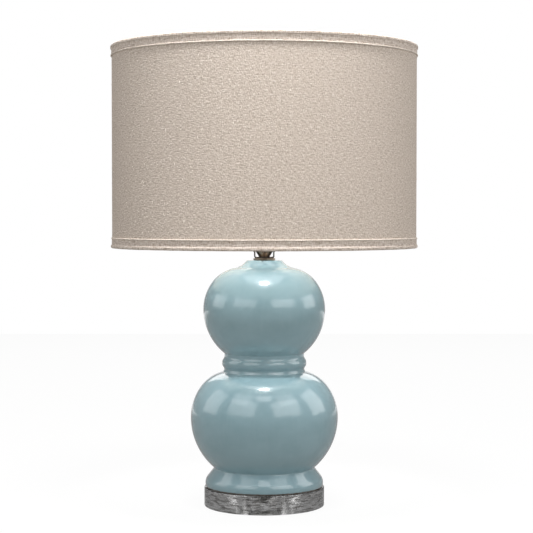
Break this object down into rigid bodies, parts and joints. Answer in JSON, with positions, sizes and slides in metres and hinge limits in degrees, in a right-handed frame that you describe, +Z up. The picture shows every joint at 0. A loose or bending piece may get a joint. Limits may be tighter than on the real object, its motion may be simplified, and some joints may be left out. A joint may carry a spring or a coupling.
{
  "type": "double gourd table lamp",
  "caption": "Table lamp with a glazed double gourd ceramic body on a clear disc base, a harp, and a linen drum shade.",
  "frame": {"origin": "centre of the base, on the surface that the lamp stands on", "axes": "+Z up along the lamp's axis; the harp lies in the XZ plane; the switch knob faces -Y and the cord outlet faces +Y"},
  "size_m": [0.4085, 0.4086, 0.6282],
  "materials": {
    "bumper": "clear soft rubber bumper",
    "acrylic": "clear cast acrylic, polished",
    "zinc_steel": "zinc-plated steel",
    "glazed_ceramic": "pale blue gloss glaze, bare at the foot",
    "grommet": "moulded grommet",
    "nickel": "polished nickel plate",
    "fibre": "black fibre sleeve",
    "phenolic": "black moulded phenolic",
    "brass": "bare brass",
    "switch_steel": "turned steel",
    "switch_plastic": "moulded black plastic",
    "wire_white": "white powder coat",
    "liner": "white translucent liner",
    "linen": "slubbed oatmeal linen",
    "linen_trim": "the same linen, folded",
    "bulb_metal": "rolled aluminium",
    "bulb_glass": "frosted glass"
  },
  "bodies": {
    "stand": {"base_feet": "bumper", "base_disc": "acrylic", "base_washer": "zinc_steel", "lock_washer": "zinc_steel", "base_nut": "zinc_steel", "lamp_pipe": "zinc_steel", "ceramic_body": "glazed_ceramic", "cord_bushing": "grommet", "check_ring": "nickel", "harp_saddle": "nickel", "socket_cap": "nickel", "cap_set_screw": "zinc_steel", "socket_shell": "nickel", "socket_insulator": "fibre", "socket_core": "phenolic", "screw_shell": "brass", "centre_contact": "brass", "terminal_screws": "zinc_steel"},
    "switch": {"switch_shaft": "switch_steel", "switch_knob": "switch_plastic"},
    "harp": {"harp_loop": "nickel", "harp_seat": "nickel", "harp_stud": "nickel"},
    "left_ferrule": {"ferrule_left": "nickel"},
    "right_ferrule": {"ferrule_right": "nickel"},
    "shade": {"shade_spider": "wire_white", "top_ring": "wire_white", "bottom_ring": "wire_white", "shade_liner": "liner", "shade_fabric": "linen", "top_trim": "linen_trim", "bottom_trim": "linen_trim"},
    "finial_thread": {"finial_insert": "brass"},
    "finial_knob": {"finial": "nickel"},
    "bulb_base": {"bulb_screw_cap": "bulb_metal", "bulb_contact": "brass"},
    "bulb_head": {"bulb_globe": "bulb_glass"}
  },
  "joints": [
    {"name": "switch_turn", "type": "hinge", "parent": "stand", "child": "switch", "pos_m": [0, -0.02, 0.365], "axis": [0, 1, 0], "continuous": true},
    {"name": "bulb_turn", "type": "hinge", "parent": "bulb_base", "child": "bulb_head", "pos_m": [0, 0, 0.4], "axis": [0, 0, 1], "range_deg": [0, 1440]},
    {"name": "bulb_rise", "type": "slide", "parent": "stand", "child": "bulb_base", "axis": [0, 0, 1], "range_m": [0, 0.0146]},
    {"name": "harp_lift", "type": "slide", "parent": "stand", "child": "harp", "axis": [0, 0, 1], "range_m": [0, 0.025]},
    {"name": "left_ferrule_slide", "type": "slide", "parent": "harp", "child": "left_ferrule", "axis": [0, 0, 1], "range_m": [0, 0.014]},
    {"name": "right_ferrule_slide", "type": "slide", "parent": "harp", "child": "right_ferrule", "axis": [0, 0, 1], "range_m": [0, 0.014]},
    {"name": "shade_turn", "type": "hinge", "parent": "harp", "child": "shade", "pos_m": [0, 0, 0.59], "axis": [0, 0, 1], "continuous": true},
    {"name": "finial_turn", "type": "hinge", "parent": "finial_thread", "child": "finial_knob", "pos_m": [0, 0, 0.6], "axis": [0, 0, 1], "range_deg": [0, 2880]},
    {"name": "finial_rise", "type": "slide", "parent": "harp", "child": "finial_thread", "axis": [0, 0, 1], "range_m": [0, 0.0076]}
  ],
  "couplings": [
    {"joint": "bulb_rise", "follows": "bulb_turn", "m_per_rad": 0.00057751},
    {"joint": "finial_rise", "follows": "finial_turn", "m_per_rad": 0.00014972}
  ]
}
